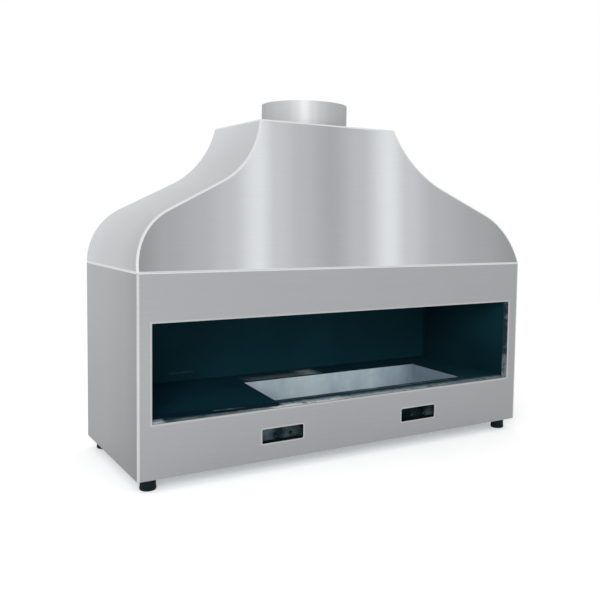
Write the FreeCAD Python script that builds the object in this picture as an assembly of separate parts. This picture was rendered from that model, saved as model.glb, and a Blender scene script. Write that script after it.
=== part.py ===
import FreeCAD, Part
import math
import os

# Charcoal grill for a restaurant kitchen: a stainless steel casing with a fire window, a charcoal
# pan let into a black hearth deck, and an ogee smoke hood with a round flue collar on top.
# Millimetres. x runs to the right, y to the back and z up. The origin is on the floor, under the
# middle of the casing.

# Casing
casing_width = 1500.0
casing_depth = 565.0
casing_height = 610.0
panel_sheet = 1.5
base_sheet = 2.0
post_leg = 30.0
post_thickness = 2.0

# Fire window, cut in the front panel with its edges folded inwards
window_side_margin = 45.0
window_sill_height = 166.0
window_height = 295.0
window_fold = 28.0

# Two air inlets under the window
inlet_spacing = 549.0
inlet_width = 150.0
inlet_height = 46.0
inlet_sill_height = 56.0
inlet_corner_radius = 5.0

# Sliding air shutters behind the inlets, each in an upper and a lower rail
shutter_overlap = 8.0
shutter_sheet = 1.5
shutter_play = 0.5
shutter_tab_play = 1.0
shutter_tab_margin = 7.0
rail_width = 12.0
rail_lip_overlap = 5.0
rail_lip_thickness = 1.5

# Fire chamber lining and the insulation behind it
liner_sheet = 1.5
liner_jamb_step = 8.5
back_insulation = 40.0
liner_stud_clearance = 4.0

# Hearth deck on its bearers
deck_thickness = 3.0
bearer_leg = 25.0
bearer_thickness = 3.0
bearer_front_reach = 18.0
deck_screw_radius = 2.5
deck_screw_head_radius = 4.6
deck_screw_head_height = 2.4
deck_screw_tip = 2.0
deck_screw_pitch = 230.0
deck_screw_play = 0.05

# Charcoal pan hung in the deck
pan_length = 1084.0
pan_width = 295.0
pan_depth = 130.0
pan_setback = 90.0
pan_sheet = 1.5
pan_flange = 12.0
pan_play = 2.0
air_hole_radius = 7.0
air_hole_pitch = 60.0
air_hole_height = 13.0

# Cast grate sections on ledges inside the pan
ash_space = 26.5
ledge_leg = 15.0
ledge_thickness = 2.0
grate_count = 4
grate_play = 2.0
grate_thickness = 12.0
grate_rim = 18.0
grate_bar = 9.0
grate_slot = 10.0

# Loose cover plate over the left end of the pan
cover_length = 430.0
cover_width = 430.0
cover_thickness = 8.0
cover_turn = 5.0
cover_side_gap = 9.0
cover_front_gap = 18.0
cover_corner_radius = 6.0

# Smoke hood
hood_height = 490.0
hood_top_width = 550.0
hood_top_depth = 385.0
hood_sheet = 1.5
hood_shoulder_leg = 128.0
hood_neck_leg = 151.0
hood_neck_angle = 76.5

# Flue collar
collar_radius = 157.5
collar_height = 85.0
collar_sheet = 1.5
collar_flange = 10.0
collar_play = 0.3
collar_weld_leg = 4.0

# Bolted joint between the casing and the hood
joint_frame_thickness = 3.0
joint_frame_leg = 25.0
gasket_thickness = 2.0
gasket_setback = 3.0
joint_bolt_radius = 3.0
joint_bolt_play = 0.3
joint_bolt_pitch = 160.0
joint_bolt_corner_gap = 70.0
joint_bolt_head_across = 10.0
joint_bolt_head_height = 4.0
joint_nut_height = 5.0
joint_bolt_tip = 2.0

# Levelling feet
foot_height = 40.0
foot_radius = 25.0
foot_inset = 45.0
foot_bevel = 3.0
stud_radius = 5.0
stud_play = 0.05
stud_hole_play = 0.5
stud_hex_across = 17.0
stud_hex_height = 4.0
stud_seat_depth = 16.0
stud_reach = 18.0
nut_plate_side = 44.0
nut_plate_thickness = 8.0

# Planes that several pieces share
half_width = casing_width / 2
front_y = -casing_depth / 2
back_y = casing_depth / 2
base_z = foot_height
seam_z = base_z + casing_height
hood_top_z = seam_z + hood_height
inner_x = half_width - panel_sheet
inner_front_y = front_y + panel_sheet
inner_back_y = back_y - panel_sheet
floor_z = base_z + base_sheet
window_half = half_width - window_side_margin
sill_z = base_z + window_sill_height
window_top_z = sill_z + window_height
liner_x = window_half + panel_sheet + liner_jamb_step
liner_front_y = front_y + window_fold
liner_back_y = inner_back_y - back_insulation - liner_sheet
stud_top_z = floor_z + nut_plate_thickness + stud_reach
liner_base_z = stud_top_z + liner_stud_clearance
joint_frame_z = seam_z - gasket_thickness / 2 - joint_frame_thickness
deck_z = sill_z - deck_thickness
pan_front_y = front_y + pan_setback
pan_back_y = pan_front_y + pan_width
pan_half = pan_length / 2
pan_floor_z = sill_z - pan_depth + pan_sheet
grate_z = pan_floor_z + ash_space
inlet_z = base_z + inlet_sill_height


def block(x_range, y_range, z_range):
    """A box between two values on each axis, in any order."""
    low = [min(pair) for pair in (x_range, y_range, z_range)]
    high = [max(pair) for pair in (x_range, y_range, z_range)]
    size = [top - bottom for top, bottom in zip(high, low)]
    return Part.makeBox(*size, FreeCAD.Vector(*low))


def upright_rod(x, y, z_range, radius):
    """A vertical round rod."""
    return Part.makeCylinder(radius, z_range[1] - z_range[0], FreeCAD.Vector(x, y, z_range[0]))


def upright_hexagon(x, y, z_range, across):
    """A vertical hexagonal prism, sized across its flats."""
    corner = across / math.sqrt(3)
    points = []
    for turn in range(7):
        angle = math.radians(60 * turn)
        points.append(FreeCAD.Vector(x + corner * math.cos(angle), y + corner * math.sin(angle), z_range[0]))
    face = Part.Face(Part.makePolygon(points))
    return face.extrude(FreeCAD.Vector(0, 0, z_range[1] - z_range[0]))


def spread(low, high, pitch):
    """Evenly spaced places from low to high, no more than one pitch apart."""
    steps = max(1, math.ceil((high - low) / pitch))
    return [low + (high - low) * step / steps for step in range(steps + 1)]


def save(node, *solids):
    """Writes one node, whether it is one solid or a group of like ones."""
    shape = solids[0] if len(solids) == 1 else Part.makeCompound(list(solids))
    shape.exportStep(f"parts/{node}.step")


# Casing panels

def inlet_centre(side):
    return side * inlet_spacing / 2


def inlet_hole(side):
    """The rounded rectangle cut through the front panel for one air inlet."""
    middle = inlet_centre(side)
    x_range = (middle - inlet_width / 2, middle + inlet_width / 2)
    hole = block(x_range, (front_y - 1, inner_front_y + 1), (inlet_z, inlet_z + inlet_height))
    upright_ends = [edge for edge in hole.Edges if abs(edge.tangentAt(0).y) > 0.9]
    return hole.makeFillet(inlet_corner_radius, upright_ends)


def front_panel():
    """The front sheet, with the window's four edges folded inwards as one frame."""
    panel = block((-half_width, half_width), (front_y, inner_front_y), (base_z, seam_z))
    window = block((-window_half, window_half), (front_y - 1, liner_front_y + 1), (sill_z, window_top_z))
    outside = window_half + panel_sheet
    fold = block((-outside, outside), (inner_front_y, liner_front_y),
                 (sill_z - panel_sheet, window_top_z + panel_sheet))
    panel = panel.fuse(fold).removeSplitter().cut(window)
    for side in (-1, 1):
        panel = panel.cut(inlet_hole(side))
    return panel


def side_panel(side):
    return block((side * inner_x, side * half_width), (inner_front_y, inner_back_y), (base_z, seam_z))


def back_panel():
    return block((-half_width, half_width), (inner_back_y, back_y), (base_z, seam_z))


def foot_places():
    """The name and centre of each foot."""
    x = half_width - foot_inset
    y = back_y - foot_inset
    return [("front_left", -x, -y), ("front_right", x, -y), ("rear_left", -x, y), ("rear_right", x, y)]


def base_plate():
    plate = block((-inner_x, inner_x), (inner_front_y, inner_back_y), (base_z, floor_z))
    for _, x, y in foot_places():
        plate = plate.cut(upright_rod(x, y, (base_z - 1, floor_z + 1), stud_radius + stud_hole_play))
    return plate


def corner_post(x_side, y_side):
    """An angle in one corner of the casing, from the base plate to the joint frame."""
    x = x_side * inner_x
    y = y_side * inner_back_y
    z_range = (floor_z, joint_frame_z)
    flange = joint_frame_leg
    along_side = block((x, x - x_side * post_thickness), (y, y - y_side * post_leg), z_range)
    along_front = block((x, x - x_side * post_leg), (y, y - y_side * post_thickness), z_range)
    post = along_side.fuse(along_front).removeSplitter()
    relief = block((x, x - x_side * (post_leg + 1)), (y, y - y_side * (post_leg + 1)),
                   (joint_frame_z - flange, joint_frame_z))
    return post.cut(relief)


# Joint between the casing and the hood

def flat_ring(setback, z_range):
    """A flat rectangular ring from the panels, or a setback inside them, to the lining."""
    outer = block((-inner_x + setback, inner_x - setback),
                  (inner_front_y + setback, inner_back_y - setback), z_range)
    hole = block((-liner_x, liner_x), (liner_front_y + liner_sheet, liner_back_y),
                 (z_range[0] - 1, z_range[1] + 1))
    return outer.cut(hole)


def joint_bolt_places():
    """Bolt centres along the middle of the ring's four sides."""
    side_x = (inner_x + liner_x) / 2
    ring_front_y = (inner_front_y + liner_front_y + liner_sheet) / 2
    ring_back_y = (inner_back_y + liner_back_y) / 2
    places = []
    for x in spread(-inner_x + joint_bolt_corner_gap, inner_x - joint_bolt_corner_gap, joint_bolt_pitch):
        places.append((x, ring_front_y))
        places.append((x, ring_back_y))
    for y in spread(inner_front_y + joint_bolt_corner_gap, inner_back_y - joint_bolt_corner_gap,
                    joint_bolt_pitch):
        places.append((-side_x, y))
        places.append((side_x, y))
    return places


def drill_joint(ring, z_range):
    holes = []
    for x, y in joint_bolt_places():
        holes.append(upright_rod(x, y, (z_range[0] - 1, z_range[1] + 1), joint_bolt_radius + joint_bolt_play))
    return ring.cut(holes)


def casing_joint_frame():
    """An angle ring round the casing's top, with its upright leg against the panels."""
    top_z = joint_frame_z + joint_frame_thickness
    leg_z = (joint_frame_z - joint_frame_leg, top_z)
    leg = block((-inner_x, inner_x), (inner_front_y, inner_back_y), leg_z)
    inside = block((-inner_x + joint_frame_thickness, inner_x - joint_frame_thickness),
                   (inner_front_y + joint_frame_thickness, inner_back_y - joint_frame_thickness),
                   (leg_z[0] - 1, top_z + 1))
    flange_z = (joint_frame_z, top_z)
    frame = flat_ring(0, flange_z).fuse(leg.cut(inside)).removeSplitter()
    return drill_joint(frame, flange_z)


def joint_gasket():
    z_range = (joint_frame_z + joint_frame_thickness, seam_z + gasket_thickness / 2)
    return drill_joint(flat_ring(gasket_setback, z_range), z_range)


def hood_joint_frame():
    """The flat ring inside the hood's lower edge."""
    low_z = seam_z + gasket_thickness / 2
    z_range = (low_z, low_z + joint_frame_thickness)
    return drill_joint(flat_ring(gasket_setback, z_range), z_range)


def joint_bolts():
    """Hexagon bolts pushed up through both frames."""
    bolts = []
    tip_z = seam_z + gasket_thickness / 2 + joint_frame_thickness + joint_nut_height + joint_bolt_tip
    for x, y in joint_bolt_places():
        head = upright_hexagon(x, y, (joint_frame_z - joint_bolt_head_height, joint_frame_z),
                               joint_bolt_head_across)
        shank = upright_rod(x, y, (joint_frame_z, tip_z), joint_bolt_radius)
        bolts.append(head.fuse(shank))
    return bolts


def joint_nuts():
    """A nut on top of the hood's frame for each bolt."""
    low_z = seam_z + gasket_thickness / 2 + joint_frame_thickness
    nuts = []
    for x, y in joint_bolt_places():
        z_range = (low_z, low_z + joint_nut_height)
        bore = upright_rod(x, y, (low_z - 1, z_range[1] + 1), joint_bolt_radius)
        nuts.append(upright_hexagon(x, y, z_range, joint_bolt_head_across).cut(bore))
    return nuts


# Fire chamber lining

def side_liner(side):
    """A black side sheet, turned at its front edge to meet the folded window jamb."""
    outside = liner_x + liner_sheet
    wall = block((side * liner_x, side * outside), (liner_front_y + liner_sheet, liner_back_y + liner_sheet),
                 (liner_base_z, joint_frame_z))
    turned = block((side * window_half, side * outside), (liner_front_y, liner_front_y + liner_sheet),
                   (liner_base_z, window_top_z))
    return wall.fuse(turned).removeSplitter()


def back_liner():
    return block((-liner_x, liner_x), (liner_back_y, liner_back_y + liner_sheet), (liner_base_z, joint_frame_z))


def front_liner():
    """The sheet behind the front panel, above the window."""
    outside = liner_x + liner_sheet
    return block((-outside, outside), (liner_front_y, liner_front_y + liner_sheet),
                 (window_top_z, joint_frame_z))


def side_insulation(side):
    return block((side * (liner_x + liner_sheet), side * inner_x),
                 (inner_front_y + post_leg, liner_back_y + liner_sheet),
                 (liner_base_z, joint_frame_z - joint_frame_leg))


def back_insulation_board():
    outside = liner_x + liner_sheet
    return block((-outside, outside), (liner_back_y + liner_sheet, inner_back_y),
                 (liner_base_z, joint_frame_z - joint_frame_leg))


def front_insulation():
    return block((-liner_x, liner_x), (inner_front_y, liner_front_y),
                 (window_top_z + panel_sheet, joint_frame_z - joint_frame_leg))


# Hearth deck

def deck_front_y():
    return liner_front_y + liner_sheet


def bearer_front_edge_y():
    return deck_front_y() + bearer_front_reach


def bearer_rear_edge_y():
    return liner_back_y - bearer_leg


def deck_screw_places():
    """Screw centres over the middle of each bearer's flat leg."""
    front_line = deck_front_y() + bearer_front_reach / 2
    rear_line = liner_back_y - bearer_leg / 2
    side_line = liner_x - bearer_leg / 2
    places = []
    reach = window_half - bearer_leg * 2
    for x in spread(-reach, reach, deck_screw_pitch):
        places.append((x, front_line))
        places.append((x, rear_line))
    for y in spread(bearer_front_edge_y() + bearer_leg, bearer_rear_edge_y() - bearer_leg, deck_screw_pitch):
        places.append((-side_line, y))
        places.append((side_line, y))
    return places


def deck_screw(x, y, play):
    """A countersunk screw, or the hole for it when play is added."""
    neck_z = sill_z - deck_screw_head_height
    tip_z = deck_z - bearer_thickness - deck_screw_tip
    head = Part.makeCone(deck_screw_radius + play, deck_screw_head_radius + play, deck_screw_head_height,
                         FreeCAD.Vector(x, y, neck_z))
    shank = upright_rod(x, y, (tip_z, neck_z), deck_screw_radius + play)
    return head.fuse(shank)


def drill_for_deck_screws(piece):
    return piece.cut([deck_screw(x, y, deck_screw_play) for x, y in deck_screw_places()])


def hearth_deck():
    """The black steel deck around the charcoal pan."""
    deck = block((-liner_x, liner_x), (deck_front_y(), liner_back_y), (deck_z, sill_z))
    wall = pan_sheet + pan_play
    cut_out = block((-pan_half - wall, pan_half + wall), (pan_front_y - wall, pan_back_y + wall),
                    (deck_z - 1, sill_z + 1))
    return drill_for_deck_screws(deck.cut(cut_out))


def front_bearer():
    """Carries the deck's front edge from the front panel, its stiffening leg turned down."""
    rear = bearer_front_edge_y()
    flat = block((-window_half, window_half), (inner_front_y, rear), (deck_z - bearer_thickness, deck_z))
    leg = block((-window_half, window_half), (rear - bearer_thickness, rear), (deck_z - bearer_leg, deck_z))
    return drill_for_deck_screws(flat.fuse(leg).removeSplitter())


def rear_bearer():
    flat = block((-liner_x, liner_x), (liner_back_y - bearer_leg, liner_back_y),
                 (deck_z - bearer_thickness, deck_z))
    leg = block((-liner_x, liner_x), (liner_back_y - bearer_thickness, liner_back_y),
                (deck_z - bearer_leg, deck_z))
    return drill_for_deck_screws(flat.fuse(leg).removeSplitter())


def side_bearer(side):
    y_range = (bearer_front_edge_y(), bearer_rear_edge_y())
    flat = block((side * liner_x, side * (liner_x - bearer_leg)), y_range, (deck_z - bearer_thickness, deck_z))
    leg = block((side * liner_x, side * (liner_x - bearer_thickness)), y_range, (deck_z - bearer_leg, deck_z))
    return drill_for_deck_screws(flat.fuse(leg).removeSplitter())


def deck_screws():
    return [deck_screw(x, y, 0) for x, y in deck_screw_places()]


# Charcoal pan, grates and cover plate

def charcoal_pan():
    """A stainless tray hung by its flange, with air holes low in its long walls."""
    outer_x = pan_half + pan_sheet
    tray = block((-outer_x, outer_x), (pan_front_y - pan_sheet, pan_back_y + pan_sheet),
                 (pan_floor_z - pan_sheet, sill_z + pan_sheet))
    edge = pan_sheet + pan_flange
    flange = block((-pan_half - edge, pan_half + edge), (pan_front_y - edge, pan_back_y + edge),
                   (sill_z, sill_z + pan_sheet))
    hollow = block((-pan_half, pan_half), (pan_front_y, pan_back_y), (pan_floor_z, sill_z + 2 * pan_sheet))
    pan = tray.fuse(flange).removeSplitter().cut(hollow)
    holes = []
    reach = pan_half - air_hole_pitch
    for x in spread(-reach, reach, air_hole_pitch):
        holes.append(Part.makeCylinder(air_hole_radius, pan_width + 4 * pan_sheet,
                                       FreeCAD.Vector(x, pan_front_y - 2 * pan_sheet,
                                                      pan_floor_z + air_hole_height),
                                       FreeCAD.Vector(0, 1, 0)))
    return pan.cut(holes)


def grate_ledge(y, inwards):
    """An angle along one long wall of the pan, with its flat leg under the grates."""
    flat = block((-pan_half, pan_half), (y, y + inwards * ledge_leg), (grate_z - ledge_thickness, grate_z))
    upright = block((-pan_half, pan_half), (y, y + inwards * ledge_thickness),
                    (grate_z - ledge_thickness, grate_z - ledge_thickness + ledge_leg))
    return flat.fuse(upright).removeSplitter()


def charcoal_grate(number):
    """One cast section, a rim with bars running from front to back."""
    length = (pan_length - grate_play * (grate_count + 1)) / grate_count
    low_x = -pan_half + grate_play + number * (length + grate_play)
    low_y = pan_front_y + ledge_thickness + grate_play
    high_y = pan_back_y - ledge_thickness - grate_play
    z_range = (grate_z, grate_z + grate_thickness)
    section = block((low_x, low_x + length), (low_y, high_y), z_range)
    clear_length = length - 2 * grate_bar
    slot_count = int((clear_length + grate_bar) // (grate_slot + grate_bar))
    bar = (clear_length - slot_count * grate_slot) / (slot_count - 1)
    slots = []
    for index in range(slot_count):
        x = low_x + grate_bar + index * (grate_slot + bar)
        slots.append(block((x, x + grate_slot), (low_y + grate_rim, high_y - grate_rim),
                           (z_range[0] - 1, z_range[1] + 1)))
    return section.cut(slots)


def cover_plate():
    """A loose steel plate lying a little askew on the pan's flange, over the pan's left end."""
    plate = block((-cover_length, 0), (0, cover_width), (0, cover_thickness))
    corners = [edge for edge in plate.Edges if abs(edge.tangentAt(0).z) > 0.9]
    plate = plate.makeFillet(cover_corner_radius, corners)
    plate.rotate(FreeCAD.Vector(0, 0, 0), FreeCAD.Vector(0, 0, 1), -cover_turn)
    left_corner_x = -liner_x + cover_side_gap
    right_corner_x = left_corner_x + cover_length * math.cos(math.radians(cover_turn))
    plate.translate(FreeCAD.Vector(right_corner_x, front_y + cover_front_gap, sill_z + pan_sheet))
    return plate


# Air shutters

def shutter_range_z():
    return (inlet_z - shutter_overlap, inlet_z + inlet_height + shutter_overlap)


def air_shutter(side):
    """A flat slide parked beside its inlet, with a finger tab turned out into the opening."""
    outer_end = inlet_centre(side) + side * inlet_width / 2
    tab_outer = outer_end - side * shutter_tab_play
    tab_inner = tab_outer - side * shutter_sheet
    low_z, high_z = shutter_range_z()
    slide_front = inner_front_y + shutter_play
    slide_back = slide_front + shutter_sheet
    slide = block((tab_inner, tab_inner + side * (inlet_width + shutter_overlap)), (slide_front, slide_back),
                  (low_z, high_z))
    tab = block((tab_inner, tab_outer), (front_y, slide_front),
                (low_z + shutter_overlap + shutter_tab_margin, high_z - shutter_overlap - shutter_tab_margin))
    return slide.fuse(tab).removeSplitter()


def shutter_rails(side):
    """The upper and the lower rail, each a strip with a lip that traps the slide's edge."""
    inner_end = inlet_centre(side) - side * (inlet_width / 2 + shutter_overlap)
    outer_end = inlet_centre(side) + side * (3 * inlet_width / 2 + 2 * shutter_overlap)
    channel = shutter_sheet + 2 * shutter_play
    lip_front = inner_front_y + channel
    rails = []
    for edge_z, outward in zip(shutter_range_z(), (-1, 1)):
        near = edge_z + outward * shutter_play
        far = near + outward * rail_width
        strip = block((inner_end, outer_end), (inner_front_y, lip_front), (near, far))
        lip = block((inner_end, outer_end), (lip_front, lip_front + rail_lip_thickness),
                    (edge_z - outward * rail_lip_overlap, far))
        rails.append(strip.fuse(lip).removeSplitter())
    return rails


# Smoke hood

def hood_point(side, inward, up):
    """A point on the hood's elevation, measured in from the casing's side and up from the seam."""
    return FreeCAD.Vector(side * (half_width - inward), 0, seam_z + up)


def flank_edges(side, inset):
    """The S-shaped flank from the seam to the top, or the same line moved inwards by a sheet."""
    run = half_width - hood_top_width / 2
    neck = math.radians(hood_neck_angle)
    slope_x = run - hood_neck_leg * math.cos(neck)
    slope_z = hood_height - hood_neck_leg * math.sin(neck) - hood_shoulder_leg
    slope = math.atan2(slope_z, slope_x)
    upright = math.pi / 2
    shoulder_radius = hood_shoulder_leg / math.tan((upright - slope) / 2)
    neck_radius = hood_neck_leg / math.tan((neck - slope) / 2)
    neck_centre_x = run - neck_radius * math.sin(neck)
    neck_centre_z = hood_height + neck_radius * math.cos(neck)

    def shoulder_point(angle):
        radius = shoulder_radius - inset
        return hood_point(side, shoulder_radius - radius * math.sin(angle), radius * math.cos(angle))

    def neck_point(angle):
        radius = neck_radius + inset
        return hood_point(side, neck_centre_x + radius * math.sin(angle),
                          neck_centre_z - radius * math.cos(angle))

    shoulder = Part.Arc(shoulder_point(upright), shoulder_point((upright + slope) / 2), shoulder_point(slope))
    straight = Part.LineSegment(shoulder_point(slope), neck_point(slope))
    neck_arc = Part.Arc(neck_point(slope), neck_point((slope + neck) / 2), neck_point(neck))
    return [shoulder.toShape(), straight.toShape(), neck_arc.toShape()]


def ends(edges):
    """The first and the last point of a chain of edges."""
    return edges[0].Vertexes[0].Point, edges[-1].Vertexes[-1].Point


def closed_outline(first, second):
    """A face between two chains of edges that run the same way."""
    first_low, first_high = ends(first)
    second_low, second_high = ends(second)
    bottom = Part.LineSegment(first_low, second_low).toShape()
    top = Part.LineSegment(first_high, second_high).toShape()
    loose = first + second + [bottom, top]
    return Part.Face(Part.Wire(Part.__sortEdges__(loose)))


def through_depth(face):
    """The face, drawn on the plane y = 0, made solid from the casing's front to its back."""
    moved = face.translated(FreeCAD.Vector(0, front_y, 0))
    return moved.extrude(FreeCAD.Vector(0, casing_depth, 0))


def hood_body():
    """The space inside the hood's outline seen from the front."""
    return through_depth(closed_outline(flank_edges(-1, 0), flank_edges(1, 0)))


def side_section(setback, rear_y):
    """The hood's outline seen from the side, set back from its leaning front, below the top plate."""
    lean = (hood_top_depth - casing_depth) / hood_height
    height = hood_height - hood_sheet
    slant = math.sqrt(1 + lean * lean)
    low_y = front_y + setback * slant
    points = [(low_y, 0), (rear_y, 0), (rear_y, height), (low_y - lean * height, height), (low_y, 0)]
    wire = Part.makePolygon([FreeCAD.Vector(-half_width - 1, y, seam_z + z) for y, z in points])
    return Part.Face(wire).extrude(FreeCAD.Vector(casing_width + 2, 0, 0))


def hood_front():
    outside = side_section(0, back_y)
    inside = side_section(hood_sheet, back_y + 1)
    return hood_body().common(outside.cut(inside))


def hood_back():
    return hood_body().common(side_section(0, back_y).cut(side_section(0, back_y - hood_sheet)))


def hood_side(side):
    """One flank sheet, rolled to the S-shape, between the front and the back sheet."""
    band = through_depth(closed_outline(flank_edges(side, 0), flank_edges(side, hood_sheet)))
    return band.common(side_section(hood_sheet, back_y - hood_sheet))


def collar_centre_y():
    return back_y - hood_top_depth / 2


def hood_top():
    """The flat top plate with the flue hole."""
    z_range = (hood_top_z - hood_sheet, hood_top_z)
    plate = block((-hood_top_width / 2, hood_top_width / 2), (back_y - hood_top_depth, back_y), z_range)
    hole = upright_rod(0, collar_centre_y(), (z_range[0] - 1, z_range[1] + 1), collar_radius + collar_play)
    return plate.cut(hole)


def flue_collar():
    """A round spigot, flanged under the top plate and welded round its foot above it."""
    y = collar_centre_y()
    flange_top = hood_top_z - hood_sheet
    low_z = flange_top - collar_sheet
    top_z = hood_top_z + collar_height
    tube = upright_rod(0, y, (low_z, top_z), collar_radius)
    flange = upright_rod(0, y, (low_z, flange_top), collar_radius + collar_flange)
    foot = FreeCAD.Vector(0, y, hood_top_z)
    weld = Part.makeCone(collar_radius + collar_weld_leg, collar_radius, collar_weld_leg, foot)
    bore = upright_rod(0, y, (low_z - 1, top_z + 1), collar_radius - collar_sheet)
    return tube.fuse([flange, weld]).removeSplitter().cut(bore)


# Levelling feet

def foot_pad(x, y):
    """A moulded pad with a blind seat for its stud."""
    top_z = foot_height - stud_hex_height
    body = upright_rod(x, y, (0, top_z), foot_radius)
    round_edges = [edge for edge in body.Edges if edge.Curve.TypeId == "Part::GeomCircle"]
    body = body.makeChamfer(foot_bevel, round_edges)
    seat = upright_rod(x, y, (top_z - stud_seat_depth, top_z + 1), stud_radius + stud_play)
    return body.cut(seat)


def foot_stud(x, y):
    """A threaded stud with a hexagon that stops against the base plate."""
    hexagon = upright_hexagon(x, y, (foot_height - stud_hex_height, foot_height), stud_hex_across)
    shank = upright_rod(x, y, (foot_height - stud_hex_height - stud_seat_depth, stud_top_z), stud_radius)
    return shank.fuse(hexagon)


def foot_nut_plate(x, y):
    half = nut_plate_side / 2
    plate = block((x - half, x + half), (y - half, y + half), (floor_z, floor_z + nut_plate_thickness))
    return plate.cut(upright_rod(x, y, (floor_z - 1, floor_z + nut_plate_thickness + 1),
                                 stud_radius + stud_play))


os.makedirs("parts", exist_ok=True)

save("front_panel", front_panel())
save("back_panel", back_panel())
save("base_plate", base_plate())
save("casing_joint_frame", casing_joint_frame())
save("joint_gasket", joint_gasket())
save("hood_joint_frame", hood_joint_frame())
save("joint_bolts", *joint_bolts())
save("joint_nuts", *joint_nuts())
save("back_liner", back_liner())
save("front_liner", front_liner())
save("insulation_back", back_insulation_board())
save("insulation_front", front_insulation())
save("hearth_deck", hearth_deck())
save("deck_bearer_front", front_bearer())
save("deck_bearer_rear", rear_bearer())
save("deck_screws", *deck_screws())
save("charcoal_pan", charcoal_pan())
save("grate_ledge_front", grate_ledge(pan_front_y, 1))
save("grate_ledge_rear", grate_ledge(pan_back_y, -1))
save("cover_plate", cover_plate())
save("hood_front", hood_front())
save("hood_back", hood_back())
save("hood_top", hood_top())
save("flue_collar", flue_collar())

for side_name, side in (("left", -1), ("right", 1)):
    save(f"{side_name}_side_panel", side_panel(side))
    save(f"corner_post_front_{side_name}", corner_post(side, -1))
    save(f"corner_post_rear_{side_name}", corner_post(side, 1))
    save(f"{side_name}_liner", side_liner(side))
    save(f"insulation_{side_name}", side_insulation(side))
    save(f"deck_bearer_{side_name}", side_bearer(side))
    save(f"air_shutter_{side_name}", air_shutter(side))
    save(f"shutter_rails_{side_name}", *shutter_rails(side))
    save(f"hood_side_{side_name}", hood_side(side))

for number in range(grate_count):
    save(f"charcoal_grate_{number + 1}", charcoal_grate(number))

for place, x, y in foot_places():
    save(f"foot_pad_{place}", foot_pad(x, y))
    save(f"foot_stud_{place}", foot_stud(x, y))

save("foot_nut_plates", *[foot_nut_plate(x, y) for _, x, y in foot_places()])
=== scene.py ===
import math
import bpy
import bmesh
from mathutils import Matrix, Vector


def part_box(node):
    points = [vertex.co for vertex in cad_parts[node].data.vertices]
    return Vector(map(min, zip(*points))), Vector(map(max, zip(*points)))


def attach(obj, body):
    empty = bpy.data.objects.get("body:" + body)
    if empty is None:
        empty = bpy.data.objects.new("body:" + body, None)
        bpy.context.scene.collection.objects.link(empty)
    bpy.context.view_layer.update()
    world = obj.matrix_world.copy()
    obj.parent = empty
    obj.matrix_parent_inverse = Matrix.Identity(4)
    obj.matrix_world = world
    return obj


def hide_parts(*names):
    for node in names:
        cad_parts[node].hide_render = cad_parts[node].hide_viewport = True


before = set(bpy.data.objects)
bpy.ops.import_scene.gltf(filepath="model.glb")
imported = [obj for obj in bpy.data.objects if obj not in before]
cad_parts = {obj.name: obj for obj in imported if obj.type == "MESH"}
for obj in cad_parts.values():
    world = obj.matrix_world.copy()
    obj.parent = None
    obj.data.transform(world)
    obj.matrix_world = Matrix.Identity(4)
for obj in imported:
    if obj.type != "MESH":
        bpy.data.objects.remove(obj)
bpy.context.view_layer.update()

# Base plate and corner posts
# A 2 mm galvanised base plate with an angle post welded up each corner. A thick tapped plate lies
# on it in each corner and takes the stud of a levelling foot.


def add(tree, kind, inputs={}, **settings):
    """A shader node with its settings and inputs, each input a value or another node's socket."""
    made = tree.nodes.new("ShaderNode" + kind)
    for name, value in settings.items():
        setattr(made, name, value)
    for socket, value in inputs.items():
        if isinstance(value, bpy.types.NodeSocket):
            tree.links.new(value, made.inputs[socket])
        else:
            made.inputs[socket].default_value = value
    return made


def finish(name, roughness, metal=0.0, specular=0.5):
    """A new finish: its material, its tree, its shader and the object's own position."""
    material = bpy.data.materials.new(name)
    material.use_nodes = True
    shader = material.node_tree.nodes["Principled BSDF"]
    shader.inputs["Metallic"].default_value = metal
    shader.inputs["Roughness"].default_value = roughness
    shader.inputs["Specular IOR Level"].default_value = specular
    return material, material.node_tree, shader, add(material.node_tree, "TexCoord").outputs["Object"]


def grey(tone, blue=0.028):
    """A near-neutral grey from the tone that it shows, 0 to 255."""
    light = ((tone / 255 + 0.055) / 1.055) ** 2.4
    return (light * (1 - blue), light, light * (1 + blue), 1)


def between(tree, value, low, high, new_low=0.0, new_high=1.0):
    """The value's place from low to high, carried over to new_low to new_high."""
    inputs = {"Value": value, 1: low, 2: high, 3: new_low, 4: new_high}
    return add(tree, "MapRange", inputs).outputs["Result"]


def mixed(tree, share, first, second):
    """Two colours mixed, the second by its share."""
    inputs = {0: share, 6: first, 7: second}
    return add(tree, "Mix", inputs, data_type="RGBA").outputs[2]


def noise(tree, place, scale, detail=2.0, stretch=(1, 1, 1), rough=0.5):
    """Noise with so many lumps to the metre, drawn out along an axis given a small number."""
    spread = add(tree, "Mapping", {"Vector": place, "Scale": stretch}).outputs["Vector"]
    return add(tree, "TexNoise", {"Vector": spread, "Scale": scale, "Detail": detail,
                                  "Roughness": rough}).outputs["Fac"]


def join(tree, shader, colour=None, roughness=None, height=None, relief=0.1, depth=0.0003):
    """Leads a finish's colour, roughness and relief to its shader."""
    if colour is not None:
        tree.links.new(colour, shader.inputs["Base Color"])
    if roughness is not None:
        tree.links.new(roughness, shader.inputs["Roughness"])
    if height is not None:
        bump = add(tree, "Bump", {"Strength": relief, "Distance": depth, "Height": height})
        tree.links.new(bump.outputs["Normal"], shader.inputs["Normal"])


def dress(material, *nodes):
    """Gives parts that keep their CAD shape a finish."""
    for node in nodes:
        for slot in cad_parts[node].material_slots:
            slot.material = material


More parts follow.
